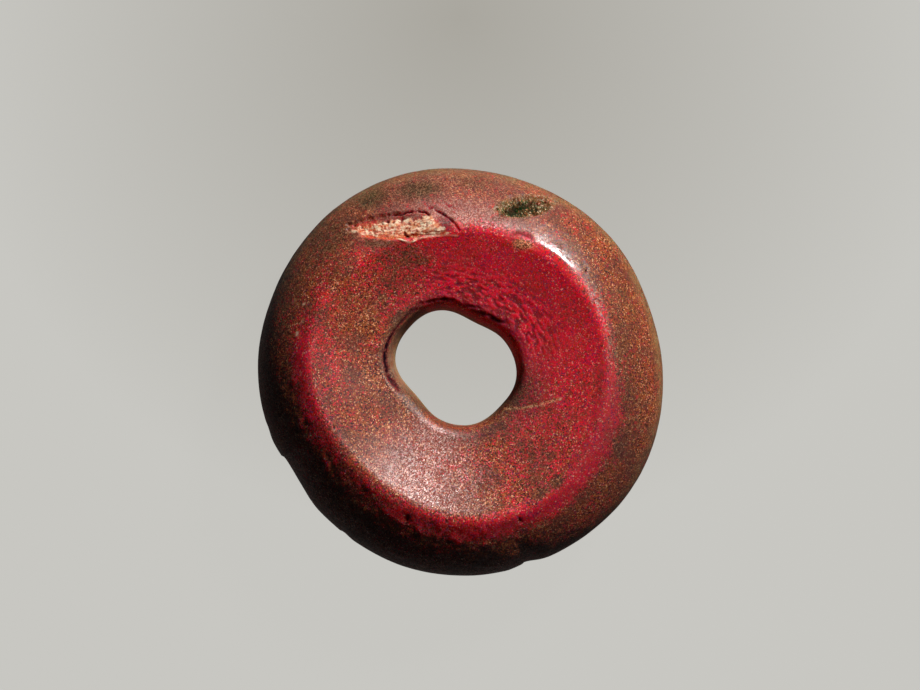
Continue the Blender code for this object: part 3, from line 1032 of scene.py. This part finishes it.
def broken_places(tree, settings, mask, grain, where, colour):
    """Lays red amber, pale crumbs, scratches, green grains and painted shade, near black or dark green, over
    the colour.
    """
    ember_layers = (
        (highest(tree, grain[1], 0.5), linear("#B5542E")),
        (lowest(tree, grain[2], 0.2), linear("#D89A60")),
    )
    crumb = add(tree, "TexNoise", {"Vector": where, "Scale": per(0.6), "Detail": 3.0, "Roughness": 0.7})
    crumbly = add(tree, "MapRange", {"Value": crumb, "From Min": 0.40, "From Max": 0.55})
    pale_layers = ((crumbly, settings.break_pale), (highest(tree, grain[1], 0.08), linear("#C87850")))
    dotted = add(tree, "Math", {0: mask["scratch"], 1: highest(tree, grain[0], 0.5)}, operation="MULTIPLY")
    moss_layers = (
        (highest(tree, grain[1], 0.4), linear("#C09460")),
        (highest(tree, grain[2], 0.12), linear("#F4E0B8")),
        (lowest(tree, grain[2], 0.36), linear("#24501E")),
    )
    layers = (
        (mask["ember"], overlaid(tree, linear("#E0401F"), ember_layers)),
        (mask["fracture"], overlaid(tree, linear("#E8925F"), pale_layers)),
        (dotted, linear("#F2A878")),
        (mask["moss"], overlaid(tree, linear("#6A5A28"), moss_layers)),
        # Painted shade: near black, and dark green over the green grains
        (mask["painted_shade"], overlaid(tree, linear("#180610"), [(mask["moss"], linear("#082C0E"))])),
    )
    return overlaid(tree, colour, layers)


def pale_floor(settings):
    """Matt board lit from behind, a little darker at the top of the view, so that no hard shadow falls."""
    material = bpy.data.materials.new("backlit_matt_board")
    material.use_nodes = True
    tree = material.node_tree
    shader = tree.nodes["Principled BSDF"]
    where = add(tree, "TexCoord", output="Object")
    centred = add(tree, "Mapping", {"Vector": where, "Location": (0, -SHADE_PLACE, 0)})
    away = add(tree, "VectorMath", {0: centred}, output="Value", operation="LENGTH")
    share = add(tree, "MapRange", {"Value": away, "From Min": 0.0, "From Max": SHADE_REACH})
    colour = overlaid(tree, settings.floor_shade, [(share, settings.floor)])
    tree.links.new(colour, shader.inputs["Emission Color"])
    shader.inputs["Base Color"].default_value = linear("#161616")
    shader.inputs["Roughness"].default_value = 1.0
    shader.inputs["Specular IOR Level"].default_value = 0.0
    shader.inputs["Emission Strength"].default_value = FLOOR_GLOW
    return material


def make_floor(settings):
    """A flat round floor whose edge sweeps up, so that a low view has no horizon."""
    profile = [(0, 0), (FLOOR_FLAT, 0)]
    for turn in between(0, math.pi / 2, 8)[1:] + [math.pi / 2]:
        profile.append((FLOOR_FLAT + FLOOR_SWEEP * math.sin(turn), FLOOR_SWEEP * (1 - math.cos(turn))))
    bm = spun(profile, FLOOR_STEPS)
    bmesh.ops.remove_doubles(bm, verts=bm.verts, dist=0.01 * MM)
    bmesh.ops.recalc_face_normals(bm, faces=bm.faces)
    mesh = finished(bm, "floor")
    mesh.shade_smooth()
    floor = bpy.data.objects.new("floor", mesh)
    floor.data.materials.append(pale_floor(settings))
    floor.visible_diffuse = False
    floor.visible_glossy = False
    bpy.context.scene.collection.objects.link(floor)
    return floor


def make_world():
    """Dim light from all round, stronger from below, as a pale floor throws it back."""
    world = bpy.data.worlds.new("studio")
    world.use_nodes = True
    tree = world.node_tree
    way = add(tree, "TexCoord", output="Generated")
    height = add(tree, "SeparateXYZ", {"Vector": way}, output="Z")
    share = add(tree, "MapRange", {"Value": height, "From Min": -0.25, "From Max": 0.25})
    strength = overlaid(tree, FLOOR_BOUNCE, [(share, SKY_FILL)], "FLOAT")
    background = tree.nodes["Background"]
    background.inputs["Color"].default_value = linear("#FFFFFF")
    tree.links.new(strength, background.inputs["Strength"])
    return world


def make_key_light(settings):
    """A square soft light aimed at the top of the ring."""
    light = bpy.data.lights.new("key_light", "AREA")
    light.size = settings.key_width
    light.energy = settings.key_power
    lamp = bpy.data.objects.new("key_light", light)
    turn, lean = math.radians(KEY_DIRECTION), math.radians(KEY_TILT)
    way = Vector((math.sin(lean) * math.cos(turn), math.sin(lean) * math.sin(turn), math.cos(lean)))
    lamp.location = Vector((0, 0, THICKNESS)) + way * KEY_DISTANCE
    lamp.rotation_euler = way.to_track_quat("Z", "Y").to_euler()
    lamp.visible_camera = False
    bpy.context.scene.collection.objects.link(lamp)


def make_camera(settings):
    """A camera straight overhead, as far off as the width of the view asks for."""
    lens = bpy.data.cameras.new("camera")
    lens.lens = LENS
    lens.sensor_width = SENSOR_WIDTH
    camera = bpy.data.objects.new("camera", lens)
    camera.location = (*VIEW_MIDDLE, GIRTH_HEIGHT + settings.view_width * LENS / SENSOR_WIDTH)
    bpy.context.scene.collection.objects.link(camera)
    return camera


class RINGBEAD_OT_amber_ring(bpy.types.Operator):
    """Make the worn amber ring"""

    bl_idname = "ringbead.amber_ring"
    bl_label = "Amber ring"
    bl_options = {"REGISTER", "UNDO"}

    def execute(self, context):
        settings = context.scene.ringbead_ring
        ring = make_ring(settings)
        ring.data.materials.append(weathered_amber(settings))
        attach(ring, "root")
        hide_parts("ring")
        return {"FINISHED"}


class RINGBEAD_OT_stage(bpy.types.Operator):
    """Make the floor, the light and the camera"""

    bl_idname = "ringbead.stage"
    bl_label = "Stage"
    bl_options = {"REGISTER", "UNDO"}

    def execute(self, context):
        settings = context.scene.ringbead_stage
        make_floor(settings)
        make_key_light(settings)
        context.scene.world = make_world()
        context.scene.view_settings.view_transform = "Standard"
        context.scene.camera = make_camera(settings)
        return {"FINISHED"}


class RINGBEAD_PT_panel(bpy.types.Panel):
    """Lists the ring's pieces and settings"""

    bl_label = "Amber ring"
    bl_idname = "RINGBEAD_PT_panel"
    bl_space_type = "VIEW_3D"
    bl_region_type = "UI"
    bl_category = "Amber ring"

    def draw(self, context):
        for settings, operator in (
            (context.scene.ringbead_ring, RINGBEAD_OT_amber_ring),
            (context.scene.ringbead_stage, RINGBEAD_OT_stage),
        ):
            box = self.layout.box()
            for name in settings.__annotations__:
                box.prop(settings, name)
            box.operator(operator.bl_idname)


CLASSES = (RingSettings, StageSettings, RINGBEAD_OT_amber_ring, RINGBEAD_OT_stage, RINGBEAD_PT_panel)


def register():
    for each in CLASSES:
        bpy.utils.register_class(each)
    bpy.types.Scene.ringbead_ring = PointerProperty(type=RingSettings)
    bpy.types.Scene.ringbead_stage = PointerProperty(type=StageSettings)


def unregister():
    del bpy.types.Scene.ringbead_stage
    del bpy.types.Scene.ringbead_ring
    for each in reversed(CLASSES):
        bpy.utils.unregister_class(each)


def main():
    register()
    bpy.ops.ringbead.stage()
    bpy.ops.ringbead.amber_ring()


if __name__ == "__main__":
    main()
